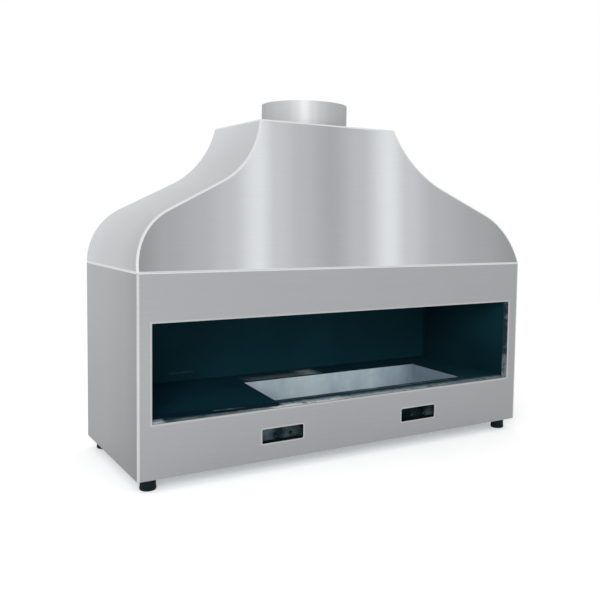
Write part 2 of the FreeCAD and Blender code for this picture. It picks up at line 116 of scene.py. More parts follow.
galvanised, tree, shader, place = finish("galvanised_steel", 0.45, metal=1.0)
spangle = add(tree, "TexVoronoi", {"Vector": place, "Scale": 90.0}).outputs["Color"]
patches = add(tree, "SeparateColor", {0: spangle}).outputs[0]
join(tree, shader, mixed(tree, patches, grey(150), grey(176)), between(tree, patches, 0, 1, 0.36, 0.52),
     noise(tree, place, 300.0), 0.08)

zinc_plate, tree, shader, place = finish("zinc_plated_steel", 0.3, metal=1.0)
film = noise(tree, place, 60.0, 3.0)
join(tree, shader, mixed(tree, film, (0.42, 0.42, 0.38, 1), (0.62, 0.64, 0.66, 1)),
     between(tree, film, 0.3, 0.7, 0.22, 0.4), film, 0.05)

corners = [fore + "_" + hand for fore in ("front", "rear") for hand in ("left", "right")]
dress(galvanised, *["corner_post_" + corner for corner in corners])
dress(zinc_plate, "foot_nut_plates")

dusty_zinc, tree, shader, place = finish("dusty_galvanised_steel", 0.7, metal=0.2)
settled = noise(tree, place, 30.0, 4.0)
patch_colour = mixed(tree, between(tree, settled, 0.4, 0.62), (0.14, 0.23, 0.26, 1), (0.28, 0.39, 0.43, 1))
join(tree, shader, patch_colour, between(tree, settled, 0.3, 0.7, 0.6, 0.8), settled, 0.2)
dress(dusty_zinc, "base_plate")

# Levelling feet
# Black moulded pads, each on a zinc plated stud that screws up through the base plate. The pad has
# a ribbed skirt to grip by hand and a flat sole with a soft rounded edge.


def lathe(bm, x, y, outline, steps, closed=False):
    """Turns an outline of (radius, height) points about an upright line at x, y."""
    rings = []
    for radius, height in outline:
        turns = [math.tau * step / steps for step in range(steps if radius else 1)]
        rings.append([bm.verts.new((x + radius * math.cos(turn), y + radius * math.sin(turn), height))
                      for turn in turns])
    for lower, upper in zip(rings, rings[1:] + (rings[:1] if closed else [])):
        for step in range(steps):
            after = (step + 1) % steps
            around = [lower[step % len(lower)], lower[after % len(lower)],
                      upper[after % len(upper)], upper[step % len(upper)]]
            bm.faces.new(list(dict.fromkeys(around)))


def piece(name, source, materials, body, slot, *nodes):
    """Makes a mesh a finished piece that rides on a body and stands for CAD nodes."""
    crease = math.radians(32)
    if isinstance(source, bpy.types.Mesh):
        mesh = source
    else:
        mesh = bpy.data.meshes.new(name)
        source.to_mesh(mesh)
        source.free()
    if not len(mesh.materials):
        for material in materials:
            mesh.materials.append(material)
    mesh.polygons.foreach_set("use_smooth", [True] * len(mesh.polygons))
    mesh.set_sharp_from_angle(angle=crease)
    made = bpy.data.objects.new(name, mesh)
    bpy.context.scene.collection.objects.link(made)
    level = made.modifiers.new("even shading", "WEIGHTED_NORMAL")
    level.keep_sharp = True
    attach(made, body)
    if nodes:
        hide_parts(*nodes)
    return made


rubber, tree, shader, place = finish("foot_rubber", 0.62, specular=0.12)
bloom = noise(tree, place, 70.0, 4.0)
join(tree, shader, mixed(tree, bloom, (0.0025, 0.0075, 0.0095, 1), (0.006, 0.012, 0.0145, 1)),
     between(tree, bloom, 0.3, 0.7, 0.5, 0.75), noise(tree, place, 900.0), 0.1)

rib_steps, rib_depth = 72, 0.0007
sole_round, skirt_foot, skirt_head = 0.004, 0.010, 0.006
for corner in corners:
    low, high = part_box("foot_pad_" + corner)
    x, y, radius = (low.x + high.x) / 2, (low.y + high.y) / 2, (high.x - low.x) / 2
    ribbed = radius - 0.001
    bm = bmesh.new()
    lathe(bm, x, y, [(0, low.z), (radius - sole_round, low.z), (radius - 0.0012, low.z + 0.0012),
                     (radius, low.z + sole_round), (radius, low.z + skirt_foot),
                     (ribbed, low.z + skirt_foot + 0.001), (ribbed, high.z - skirt_head),
                     (radius - 0.0018, high.z - 0.003), (radius - 0.0045, high.z - 0.0006),
                     (radius - 0.007, high.z), (0, high.z)], rib_steps)
    for vert in bm.verts:
        turn = math.atan2(vert.co.y - y, vert.co.x - x)
        on_skirt = low.z + skirt_foot + 0.0005 < vert.co.z < high.z - 0.004
        if on_skirt and round(turn / math.tau * rib_steps) % 2:
            vert.co.x -= rib_depth * math.cos(turn)
            vert.co.y -= rib_depth * math.sin(turn)
    piece("foot_" + corner, bm, [rubber], "foot_" + corner, "foot_rubber", "foot_pad_" + corner)
    dress(zinc_plate, "foot_stud_" + corner)

# Casing panels
# Front, back and two sides, each cut from 1.5 mm brushed stainless sheet. The top edges are rolled
# over, the upright corners welded, and both are ground round and polished, with a painted highlight,
# a bright tone, along them. The front sheet has the fire window, its edges folded inwards, and two
# air inlets below it. The folds and the margins round the inlets carry a painted highlight too.
casing_low, front_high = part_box("front_panel")
casing_high = Vector((front_high.x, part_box("back_panel")[1].y, front_high.z))
fold_back = front_high.y
window_side = -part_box("left_liner")[1].x
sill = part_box("hearth_deck")[1].z
window_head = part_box("front_liner")[0].z
sheet = 0.0015
corner_round, ground_square = 0.0065, 0.65
window_round, window_margin = 0.003, 0.0065
seam_lip, seam_band, seam_round = 0.0045, 0.0036, 0.0006
inlet_middle, inlet_width, inlet_height, inlet_round = 0.2745, 0.150, 0.046, 0.005
inlet_floor, inlet_margin, inlet_surround = casing_low.z + 0.056, 0.0045, 0.012
near, same = 1e-5, 1e-6
brushed, weld_highlight, seam_highlight, fold_highlight, sooted, sheared = range(6)


def facing(bm, points, way, finish_number=brushed):
    """A face through the points, turned so that it looks along way."""
    face = bm.faces.new([bm.verts.new(point) for point in points])
    face.normal_update()
    face.material_index = finish_number
    if face.normal.dot(Vector(way)) < 0:
        face.normal_flip()


def holed(bm, corners, arcs, way):
    """A four-sided sheet round a hole, whose outline is one arc of points to each corner."""
    for number, (corner, arc) in enumerate(zip(corners, arcs)):
        next_arc, next_corner = arcs[(number + 1) % 4], corners[(number + 1) % 4]
        for first, second in zip(arc, arc[1:]):
            facing(bm, (corner, first, second), way)
        joined = (Vector(arc[-1]) - Vector(next_arc[0])).length < same
        facing(bm, [corner, arc[-1], *([] if joined else [next_arc[0]]), next_corner], way)


def inlet(bm, middle, left, right):
    """The front sheet round one air inlet, whose dressed margin carries a painted highlight."""
    outlines = []
    for margin in (0, inlet_margin):
        outline = []
        for number, (sx, sz) in enumerate(((1, 1), (-1, 1), (-1, -1), (1, -1))):
            centre_x = middle + sx * (inlet_width / 2 - inlet_round)
            centre_z = inlet_floor + inlet_height / 2 + sz * (inlet_height / 2 - inlet_round)
            turns = [math.pi / 2 * (number + step / 4) for step in range(5)]
            outline.append([(centre_x + (inlet_round + margin) * math.cos(turn), casing_low.y,
                             centre_z + (inlet_round + margin) * math.sin(turn)) for turn in turns])
        outlines.append(outline)
    hole, dressed = [[point for arc in outline for point in arc] for outline in outlines]
    for number in range(len(hole)):
        after = (number + 1) % len(hole)
        facing(bm, (hole[number], hole[after], dressed[after], dressed[number]), (0, -1, 0), fold_highlight)
    y, low, high = casing_low.y, casing_low.z, sill - window_margin
    holed(bm, [(right, y, high), (left, y, high), (left, y, low), (right, y, low)], outlines[1], (0, -1, 0))


def casing_skin():
    """The outside of all four panels as one surface, before it is parted into sheets."""
    bm = bmesh.new()
    x0, y0, z0 = casing_low
    x1, y1, z1 = casing_high
    cell = inlet_width / 2 + inlet_surround
    cuts = [-inlet_middle - cell, -inlet_middle + cell, inlet_middle - cell, inlet_middle + cell]
    wide, low, high = window_side + window_margin, sill - window_margin, window_head + window_margin
    ledge = [(x, y0, low) for x in (-wide, *cuts, wide)]
    band, top = z1 - seam_band, z1 - seam_round
    facing(bm, [(x0, y0, high), (-wide, y0, high), (wide, y0, high), (x1, y0, high), (x1, y0, band),
                (x0, y0, band)], (0, -1, 0))
    for side, outer in ((-1, x0), (1, x1)):
        inner, margin, beside = side * window_side, side * wide, side * (inlet_middle + cell)
        facing(bm, [(outer, y0, low), (margin, y0, low), (margin, y0, high), (outer, y0, high)], (0, -1, 0))
        facing(bm, [(margin, y0, low), (inner, y0, sill), (inner, y0, window_head), (margin, y0, high)],
               (0, -1, 0), fold_highlight)
        facing(bm, [(outer, y0, z0), (beside, y0, z0), (beside, y0, low), (margin, y0, low),
                    (outer, y0, low)], (0, -1, 0))
        facing(bm, [(inner, y0, sill), (inner, y0, window_head), (inner, fold_back, window_head),
                    (inner, fold_back, sill)], (-side, 0, 0), sooted)
        facing(bm, [(outer, y0, z0), (outer, y0, low), (outer, y0, high), (outer, y0, band),
                    (outer, y1, band), (outer, y1, z0)], (side, 0, 0))
        facing(bm, [(outer, y0, band), (outer, y1, band), (outer, y1, top), (outer, y0, top)],
               (side, 0, 0), seam_highlight)
        inlet(bm, side * inlet_middle, side * inlet_middle - cell, side * inlet_middle + cell)
    facing(bm, [(cuts[1], y0, z0), (cuts[2], y0, z0), (cuts[2], y0, low), (cuts[1], y0, low)], (0, -1, 0))
    facing(bm, ledge + [(window_side, y0, sill), (-window_side, y0, sill)], (0, -1, 0), fold_highlight)
    facing(bm, [(-wide, y0, high), (wide, y0, high), (window_side, y0, window_head),
                (-window_side, y0, window_head)], (0, -1, 0), fold_highlight)
    for z, way in ((sill, 1), (window_head, -1)):
        facing(bm, [(-window_side, y0, z), (window_side, y0, z), (window_side, fold_back, z),
                    (-window_side, fold_back, z)], (0, 0, way), sooted)
    facing(bm, [(x0, y1, z0), (x1, y1, z0), (x1, y1, band), (x0, y1, band)], (0, 1, 0))
    for y in (y0, y1):
        facing(bm, [(x0, y, band), (x1, y, band), (x1, y, top), (x0, y, top)], (0, y, 0), seam_highlight)
    bmesh.ops.remove_doubles(bm, verts=bm.verts, dist=same)
    return bm


def roll_edges(bm, on_edge, radius, finish_number, sharper=0.3, square=0.5):
    """Rolls the sharp edges whose two ends pass the test to a radius, with a finish of its own."""
    bm.normal_update()
    edges = [edge for edge in bm.edges if len(edge.link_faces) == 2 and edge.calc_face_angle() > sharper
             and on_edge(edge.verts[0].co) and on_edge(edge.verts[1].co)]
    bmesh.ops.bevel(bm, geom=edges, offset=radius, offset_type="OFFSET", segments=4, profile=square,
                    affect="EDGES", material=finish_number, clamp_overlap=False)
    bm.normal_update()


def turn_in(bm, level, over):
    """Turns a skin's open edge in over the joint: a small round, then a flat lip."""
    edges = [edge for edge in bm.edges if edge.is_boundary
             and all(abs(vert.co.z - level) < near for vert in edge.verts)]
    for inset, rise, flat in ((seam_round, over * seam_round, 0), (seam_lip - seam_round, 0, 1)):
        grown = bmesh.ops.extrude_edge_only(bm, edges=edges)["geom"]
        verts = {each for each in grown if isinstance(each, bmesh.types.BMVert)}
        edges = [each for each in grown
                 if isinstance(each, bmesh.types.BMEdge) and verts.issuperset(each.verts)]
        for vert in verts:
            x, y = vert.co.x, vert.co.y
            corner = Vector((math.copysign(casing_high.x - corner_round, x),
                             math.copysign(casing_high.y - corner_round, y)))
            inward = corner - Vector((x, y))
            if abs(x) < abs(corner.x) + near:
                inward.x = 0
            if abs(y) < abs(corner.y) + near:
                inward.y = 0
            vert.co += Vector((*(inward.normalized() * inset), rise))
        for face in [each for each in grown if isinstance(each, bmesh.types.BMFace)]:
            face.material_index = seam_highlight
            face.normal_update()
            centre = face.calc_center_median()
            on_side = abs(centre.x) > casing_high.x - corner_round
            way = Vector((0, 0, over)) if flat else Vector((centre.x * on_side, centre.y * (not on_side), 0))
            if face.normal.dot(way) < 0:
                face.normal_flip()


def parted(name, skin, belongs, materials, body, slot, node, rim=brushed):
    """Parts the faces that belong from a skin, as a sheet with its thickness inwards."""
    part = skin.copy()
    others = [face for face in part.faces if not belongs(face.calc_center_median())]
    bmesh.ops.delete(part, geom=others, context="FACES")
    mesh = bpy.data.meshes.new(name)
    part.to_mesh(mesh)
    part.free()
    for material in materials:
        mesh.materials.append(material)
    blank = bpy.data.objects.new(name + "_blank", mesh)
    bpy.context.scene.collection.objects.link(blank)
    wall = blank.modifiers.new("sheet", "SOLIDIFY")
    wall.thickness, wall.offset, wall.use_even_offset, wall.material_offset_rim = sheet, -1.0, True, rim
    graph = bpy.context.evaluated_depsgraph_get()
    plain = bpy.data.meshes.new_from_object(blank.evaluated_get(graph), depsgraph=graph)
    bpy.data.objects.remove(blank)
    return piece(name, plain, materials, body, slot, node)


def ramp(tree, value, stops, blend="EASE"):
    """A colour ramp through (position, colour) stops."""
    made = add(tree, "ValToRGB", {"Fac": value})
    made.color_ramp.interpolation = blend
    elements = made.color_ramp.elements
    elements[0].position, elements[0].color = stops[0]
    elements[1].position, elements[1].color = stops[-1]
    for position, colour in stops[1:-1]:
        elements.new(position).color = colour
    return made.outputs["Color"]


def times(tree, first, second):
    """One colour or tone multiplied by another."""
    inputs = {0: 1.0, 6: first, 7: second}
    return add(tree, "Mix", inputs, data_type="RGBA", blend_type="MULTIPLY").outputs[2]


def reckoned(tree, operation, *values, kind="Math"):
    """What a sum on the values comes to."""
    return add(tree, kind, dict(enumerate(values)), operation=operation).outputs[0]


def brushed_steel(name, tones, upward_shade, grain, lean=(0.0, 0.0), painted_axis=0):
    """Brushed stainless under the grain of its brushing, with painted reflection bands and painted shade
    along the sheet and up it.
    With a lean, the painted bands slide along and spread out by so much for each metre of height."""
    roughness = 0.36
    material, tree, shader, place = finish(name, roughness, metal=1.0)
    axes = add(tree, "SeparateXYZ", {0: place}).outputs
    low, high = casing_low[painted_axis], casing_high[painted_axis]
    along = between(tree, axes[painted_axis], low, high)
    if lean[0]:
        slide = between(tree, axes[2], casing_high.z, casing_high.z + 1, 0, lean[0])
        widen = between(tree, axes[2], casing_high.z, casing_high.z + 1, 1, 1 + lean[1])
        along = reckoned(tree, "DIVIDE", reckoned(tree, "SUBTRACT", along, slide), widen)
    foot, head, *shares = upward_shade
    stops = [(step / (len(shares) - 1), (share,) * 3 + (1,)) for step, share in enumerate(shares)]
    # Painted shade up the sheet: the tone is scaled down towards its foot.
    painted_shade_up = ramp(tree, between(tree, axes[2], foot, head), stops, "LINEAR")
    fine = noise(tree, place, 1.0, 3.0, grain, 0.6)
    cloud = noise(tree, place, 3.0, 3.0)
    # Painted reflection bands and painted shade along the sheet, scaled by the painted shade up it.
    tone = times(tree, ramp(tree, along, [(stop, grey(tone)) for stop, tone in tones]), painted_shade_up)
    tone = times(tree, tone, between(tree, fine, 0.25, 0.75, 0.945, 1.045))
    tone = times(tree, tone, between(tree, cloud, 0.3, 0.7, 0.985, 1.01))
    join(tree, shader, tone, between(tree, fine, 0.2, 0.8, roughness - 0.05, roughness + 0.06), fine, 0.05)
    return material


def polished_steel(name, tone, roughness):
    """Ground and polished stainless with the fine marks of the polishing wheel, in the tone given, which for
    welds, seams and folds is a painted highlight.
    """
    material, tree, shader, place = finish(name, roughness, metal=1.0)
    marks = noise(tree, place, 260.0, 4.0, rough=0.7)
    colour = times(tree, grey(tone, 0.008), between(tree, noise(tree, place, 14.0), 0.3, 0.7, 0.96, 1.0))
    join(tree, shader, colour, between(tree, marks, 0.3, 0.7, roughness - 0.05, roughness + 0.1), marks, 0.03)
    return material


across, upright = (9, 9, 1300), (1000, 1000, 6)
# Painted shade on the casing: each sheet darkens towards its foot, the front towards its right end and the
# sides towards their front edge. The back carries painted reflection bands.
front_steel = brushed_steel("front_steel", [(0, 167), (0.6, 167), (1, 163)],
                            (casing_low.z, casing_high.z, 0.86, 1.0), across)
side_steel = brushed_steel("side_steel", [(0, 144), (0.25, 154), (0.6, 161), (1, 162)],
                           (casing_low.z, casing_high.z, 0.69, 0.75, 0.86, 0.98, 1.04), upright, painted_axis=1)
back_steel = brushed_steel("back_steel",
                           [(0, 160), (0.2, 170), (0.34, 178), (0.5, 168), (0.7, 176), (1, 160)],
                           (casing_low.z, casing_high.z, 0.88, 1.0), across)
# Painted highlights: the weld rounds, the seam band and the window and inlet folds get bright tones, lighter
# than the sheets.
ground_weld_highlight = polished_steel("ground_weld_highlight", 200, 0.5)
seam_polish_highlight = polished_steel("seam_polish_highlight", 219, 0.3)
folded_edge_highlight = polished_steel("folded_edge_highlight", 180, 0.42)
cut_edge = polished_steel("cut_edge", 205, 0.34)

sooty_fold, tree, shader, place = finish("sooty_fold_steel", 0.5, metal=0.15)
smear = noise(tree, place, 9.0, 3.0, (1, 6, 6))
spots = noise(tree, place, 22.0, 6.0, rough=0.62)
axes = add(tree, "SeparateXYZ", {0: place}).outputs
risen = between(tree, axes[2], sill + 0.01, sill + 0.12, 0, 0.2)
inward = between(tree, axes[1], casing_low.y + window_round, fold_back, -0.06, 0.06)
soot = reckoned(tree, "ADD", reckoned(tree, "ADD", spots, risen), inward)
ashy = ramp(tree, between(tree, axes[0], casing_low.x, 0.5),
            [(0, (0.62, 0.70, 0.74, 1)), (0.064, (0.62, 0.70, 0.74, 1)), (0.072, (0.07, 0.10, 0.115, 1)),
             (0.09, (0.07, 0.10, 0.115, 1)), (0.105, (0.17, 0.21, 0.23, 1)), (0.25, (0.20, 0.25, 0.275, 1)),
             (0.34, (0.30, 0.36, 0.39, 1)), (0.37, (0.98, 1.0, 1.0, 1)), (0.5, (0.94, 1.0, 1.0, 1)),
             (0.62, (0.47, 0.54, 0.58, 1)), (0.76, (0.58, 0.65, 0.69, 1)), (0.9, (0.34, 0.40, 0.43, 1)),
             (1, (0.26, 0.31, 0.34, 1))])
clean = times(tree, ashy, between(tree, smear, 0.38, 0.6, 0.88, 1.02))
sooty = mixed(tree, between(tree, soot, 0.52, 0.72), clean, (0.012, 0.036, 0.044, 1))
join(tree, shader, sooty, between(tree, spots, 0.4, 0.7, 0.5, 0.7), spots, 0.1)

skin = casing_skin()
roll_edges(skin, lambda p: abs(abs(p.x) - casing_high.x) < near and abs(abs(p.y) - casing_high.y) < near,
           corner_round, weld_highlight, square=ground_square)
turn_in(skin, casing_high.z - seam_round, 1)
roll_edges(skin, lambda p: p.y < casing_low.y + near and abs(p.x) < window_side + near
           and sill - near < p.z < window_head + near, window_round, fold_highlight)


def of_front(p):
    in_window = (abs(p.x) < window_side + window_round
                 and sill - window_round < p.z < window_head + window_round)
    return p.y < casing_low.y + corner_round + near or in_window and p.y < fold_back + near


def of_back(p):
    return p.y > casing_high.y - corner_round - near


parted("front_panel_sheet", skin, of_front,
       [front_steel, ground_weld_highlight, seam_polish_highlight, folded_edge_highlight, sooty_fold, cut_edge],
       "casing", "stainless_panel", "front_panel", rim=sheared)
parted("back_panel_sheet", skin, of_back, [back_steel, ground_weld_highlight, seam_polish_highlight], "casing",
       "stainless_panel", "back_panel")
for side, hand in ((-1, "left"), (1, "right")):
    parted(hand + "_side_panel_sheet", skin,
           lambda p: not of_front(p) and not of_back(p) and p.x * side > 0,
           [side_steel, ground_weld_highlight, seam_polish_highlight], "casing", "stainless_panel", hand + "_side_panel")
skin.free()

# Air shutters
# An upper and a lower folded rail behind each inlet carry a sliding steel plate. Its finger tab
# stands in the inlet, and the fire is damped by sliding the plate across.


def eased(node, width, material, body, slot, shortest=0.004):
    """A copy of a part whose longer sharp edges are eased to a small radius."""
    bm = bmesh.new()
    bm.from_mesh(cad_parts[node].data)
    bmesh.ops.remove_doubles(bm, verts=bm.verts, dist=2e-6)
    bmesh.ops.dissolve_limit(bm, angle_limit=0.02, verts=bm.verts, edges=bm.edges)
    edges = [edge for edge in bm.edges if edge.is_manifold and edge.calc_face_angle() > 0.5
             and edge.calc_length() > shortest]
    bmesh.ops.bevel(bm, geom=edges, offset=width, offset_type="OFFSET", segments=2, profile=0.5,
                    affect="EDGES", clamp_overlap=True)
    return piece(node + "_eased", bm, [material], body, slot, node)


shutter_steel = polished_steel("shutter_steel", 150, 0.4)
for hand in ("left", "right"):
    dress(galvanised, "shutter_rails_" + hand)
    eased("air_shutter_" + hand, 0.0004, shutter_steel, "air_shutter_" + hand, "stainless_panel")

# Insulation and lining
# Pressed ceramic fibre boards stand between the casing and a lining of 1.5 mm steel sheet, which is
# coated with matt black heat-proof enamel.
fibre_board, tree, shader, place = finish("ceramic_fibre_board", 0.95, specular=0.1)
fluff = noise(tree, place, 320.0, 5.0, rough=0.65)
shot = noise(tree, place, 40.0, 2.0)
fibre = mixed(tree, between(tree, shot, 0.35, 0.65), (0.74, 0.72, 0.67, 1), (0.84, 0.83, 0.79, 1))
join(tree, shader, fibre, None, fluff, 0.5, 0.001)
dress(fibre_board, *["insulation_" + side for side in ("back", "left", "right", "front")])


def black_enamel(name, dark, light, roughness, specular):
    """Matt black heat-proof enamel, a little uneven where the fire has baked it."""
    material, tree, shader, place = finish(name, roughness, specular=specular)
    baked = noise(tree, place, 5.0, 4.0)
    peel = noise(tree, place, 500.0, 2.0)
    join(tree, shader, mixed(tree, between(tree, baked, 0.35, 0.65), dark, light),
         between(tree, baked, 0.3, 0.7, roughness - 0.08, roughness + 0.08), peel, 0.1)
    return material


def squared(tree, turn):
    """A piece's own coordinates, turned back by the angle that the piece lies askew."""
    return add(tree, "Mapping", {"Vector": add(tree, "TexCoord").outputs["Object"],
                                 "Rotation": (0, 0, turn)}).outputs[0]


def dust_and_glint(material, low, high, soft, share, patch_colour, turn=0.0):
    """Lays a patch of colour over a finish between two corners, thinning out over a soft, uneven border: ash
    on the deck, painted glints and painted highlights on the lining, the pan's scorched walls and the cover
    plate.
    """
    tree, shader = material.node_tree, material.node_tree.nodes["Principled BSDF"]
    untouched = shader.inputs["Base Color"].links[0].from_socket
    place = squared(tree, turn)
    middle, reach = (Vector(low) + Vector(high)) / 2, (Vector(high) - Vector(low)) / 2
    off = reckoned(tree, "SUBTRACT", place, middle, kind="VectorMath")
    off = reckoned(tree, "ABSOLUTE", off, kind="VectorMath")
    off = reckoned(tree, "SUBTRACT", off, reach, kind="VectorMath")
    axes = add(tree, "SeparateXYZ", {0: off}).outputs
    far = reckoned(tree, "MAXIMUM", reckoned(tree, "MAXIMUM", axes[0], axes[1]), axes[2])
    uneven = noise(tree, place, 45.0, 4.0, (1, 2.5, 1), 0.6)
    far = reckoned(tree, "ADD", far, between(tree, uneven, 0.3, 0.7, -soft / 2, soft / 2))
    join(tree, shader, mixed(tree, between(tree, far, -soft / 2, soft, share, 0), untouched, patch_colour))


def toned(material, axis, low, high, low_tone, high_tone, turn=0.0):
    """Lightens or darkens a finish along an axis, 0, 1 or 2 for x, y or z."""
    tree, shader = material.node_tree, material.node_tree.nodes["Principled BSDF"]
    place = add(tree, "SeparateXYZ", {0: squared(tree, turn)}).outputs[axis]
    share = between(tree, place, low, high, low_tone, high_tone)
    join(tree, shader, times(tree, shader.inputs["Base Color"].links[0].from_socket, share))


black_lining = black_enamel("black_lining_enamel", (0.0065, 0.038, 0.054, 1),
                            (0.008, 0.046, 0.064, 1), 0.85, 0.05)
# Painted light and shade: the lining is lightened towards the window head and darkened on the right wall.
toned(black_lining, 2, sill + 0.1, window_head, 0.95, 1.35)
toned(black_lining, 0, window_side - 0.01, window_side, 1.0, 0.68)
# A painted glint: a faint light streak on the back wall just above the cover plate.
glint_height = sill + 0.032
dust_and_glint(black_lining, (-0.465, 0.2, glint_height - 0.001), (-0.375, 0.25, glint_height + 0.001), 0.004, 0.3,
       (0.10, 0.17, 0.20, 1))
dress(black_lining, "back_liner", "left_liner", "right_liner", "front_liner")

# Hearth deck
# A 3 mm black enamelled plate round the pan, on four bearers of angle steel, held down by twenty
# countersunk screws in rows along its edges.


def fastener_rows(name, material):
    """A node tree that sets one fastener in a row along each of a frame's four sides."""
    tree = bpy.data.node_groups.new(name, "GeometryNodeTree")
    sizes = ("Row Half", "Front Line", "Rear Line", "Side Line", "Side Front", "Side Rear", "Height")
    for kind, names in (("Float", sizes), ("Int", ("Per Row", "Per Side")), ("Object", ("Fastener",))):
        for each in names:
            tree.interface.new_socket(each, in_out="INPUT", socket_type="NodeSocket" + kind)
    tree.interface.new_socket("Geometry", in_out="OUTPUT", socket_type="NodeSocketGeometry")
    given = tree.nodes.new("NodeGroupInput").outputs
    lines = tree.nodes.new("GeometryNodeJoinGeometry")

    def minus(socket):
        turned = tree.nodes.new("ShaderNodeMath")
        turned.operation = "MULTIPLY"
        turned.inputs[1].default_value = -1
        tree.links.new(socket, turned.inputs[0])
        return turned.outputs[0]

    def row(count, start, end):
        line = tree.nodes.new("GeometryNodeMeshLine")
        line.mode = "END_POINTS"
        tree.links.new(given[count], line.inputs["Count"])
        for socket, (x, y) in (("Start Location", start), ("Offset", end)):
            point = tree.nodes.new("ShaderNodeCombineXYZ")
            for axis, value in enumerate((x, y, given["Height"])):
                tree.links.new(value, point.inputs[axis])
            tree.links.new(point.outputs[0], line.inputs[socket])
        tree.links.new(line.outputs[0], lines.inputs[0])

    half, side = given["Row Half"], given["Side Line"]
    row("Per Row", (minus(half), given["Front Line"]), (half, given["Front Line"]))
    row("Per Row", (minus(half), given["Rear Line"]), (half, given["Rear Line"]))
    row("Per Side", (minus(side), given["Side Front"]), (minus(side), given["Side Rear"]))
    row("Per Side", (side, given["Side Front"]), (side, given["Side Rear"]))
    shape = tree.nodes.new("GeometryNodeObjectInfo")
    tree.links.new(given["Fastener"], shape.inputs["Object"])
    instances = tree.nodes.new("GeometryNodeInstanceOnPoints")
    tree.links.new(lines.outputs[0], instances.inputs["Points"])
    tree.links.new(shape.outputs["Geometry"], instances.inputs["Instance"])
    real = tree.nodes.new("GeometryNodeRealizeInstances")
    tree.links.new(instances.outputs[0], real.inputs[0])
    coat = tree.nodes.new("GeometryNodeSetMaterial")
    coat.inputs["Material"].default_value = material
    tree.links.new(real.outputs[0], coat.inputs["Geometry"])
    tree.links.new(coat.outputs[0], tree.nodes.new("NodeGroupOutput").inputs[0])
    return tree


def set_rows(name, tree, fastener, sizes, body, slot, node):
    """Runs a fastener tree with its sizes and makes the rows one plain piece."""
    mesh = bpy.data.meshes.new(name + "_one")
    fastener.to_mesh(mesh)
    fastener.free()
    one = bpy.data.objects.new(name + "_one", mesh)
    rows = bpy.data.objects.new(name + "_rows", bpy.data.meshes.new(name + "_rows"))
    for made in (one, rows):
        bpy.context.scene.collection.objects.link(made)
    run = rows.modifiers.new("rows", "NODES")
    run.node_group = tree
    for item in tree.interface.items_tree:
        if item.in_out == "INPUT":
            run[item.identifier] = one if item.name == "Fastener" else sizes[item.name]
    graph = bpy.context.evaluated_depsgraph_get()
    plain = bpy.data.meshes.new_from_object(rows.evaluated_get(graph), depsgraph=graph)
    for made in (one, rows):
        bpy.data.objects.remove(made)
    return piece(name, plain, [], body, slot, node)


def ashen(left, right, front, rear, soft, share):
    """Ash left lying on the deck from left to right and from front to rear."""
    dust_and_glint(black_deck, (left, front, sill - 0.01), (right, rear, sill + 0.01), soft, share,
           (0.42, 0.50, 0.54, 1))


black_deck = black_enamel("black_deck_enamel", (0.007, 0.040, 0.056, 1), (0.0095, 0.049, 0.066, 1),
                          0.75, 0.06)
deck_front, behind_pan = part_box("hearth_deck")[0].y - 0.007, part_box("charcoal_pan")[1].y + 0.004
ashen(-0.25, 0.70, deck_front, -0.246, 0.018, 0.5)
ashen(-0.26, -0.04, deck_front, -0.238, 0.014, 0.5)
ashen(-0.71, -0.665, deck_front, -0.236, 0.008, 0.6)
ashen(-0.19, 0.04, behind_pan, 0.16, 0.03, 0.35)
ashen(0.05, 0.09, behind_pan, 0.19, 0.03, 0.9)
eased("hearth_deck", 0.0005, black_deck, "casing", "black_deck", shortest=0.02)
dress(galvanised, *["deck_bearer_" + side for side in ("front", "rear", "left", "right")])

blackened_screw, tree, shader, place = finish("blackened_screw_steel", 0.5, metal=1.0)
wear = noise(tree, place, 200.0, 3.0)
join(tree, shader, mixed(tree, wear, (0.012, 0.014, 0.016, 1), (0.05, 0.055, 0.06, 1)),
     between(tree, wear, 0.3, 0.7, 0.4, 0.6), wear, 0.1)

screw_low, screw_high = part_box("deck_screws")
bearer_low, bearer_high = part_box("deck_bearer_left")
screw_shank, screw_head, screw_edge, sunk = 0.0025, 0.0046, 0.0003, 0.0024
socket_radius, socket_depth, tip = 0.0022, 0.0012, 0.0008
row_inset, side_inset = 0.050, 0.025
screw = bmesh.new()
lathe(screw, 0, 0, [(0, screw_low.z - sill), (screw_shank - tip, screw_low.z - sill),
                    (screw_shank, screw_low.z - sill + tip), (screw_shank, -sunk),
                    (screw_head, -screw_edge), (screw_head, 0), (socket_radius, 0),
                    (socket_radius, -socket_depth), (0, -socket_depth)], 16)
set_rows("deck_screws_set", fastener_rows("deck_screw_rows", blackened_screw), screw,
         {"Row Half": window_side - row_inset, "Front Line": screw_low.y + screw_head,
          "Rear Line": screw_high.y - screw_head, "Side Line": screw_high.x - screw_head,
          "Side Front": bearer_low.y + side_inset, "Side Rear": bearer_high.y - side_inset,
          "Height": sill, "Per Row": 7, "Per Side": 3},
         "casing", "bolt_steel", "deck_screws")

# Charcoal pan
# A deep pan of 1.5 mm stainless sheet with welded corners and a narrow turned-out rim, let into the
# deck. Air holes run low along its two long walls, and two ledges carry four cast iron grates.
pan_low, pan_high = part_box("charcoal_pan")
pan_steel, tree, shader, place = finish("pan_steel", 0.5, metal=0.2)
streaks = noise(tree, place, 7.0, 3.0, (1.4, 1.4, 0.4), 0.5)
bloom = noise(tree, place, 26.0, 3.0)
fine = noise(tree, place, 1.0, 3.0, (500, 500, 5), 0.6)
axes = add(tree, "SeparateXYZ", {0: place}).outputs
colour = mixed(tree, between(tree, streaks, 0.36, 0.64), (0.58, 0.74, 0.86, 1), (0.78, 0.94, 1.0, 1))
colour = times(tree, colour, between(tree, bloom, 0.3, 0.7, 0.9, 1.02))
untouched = (1, 1, 1, 1)
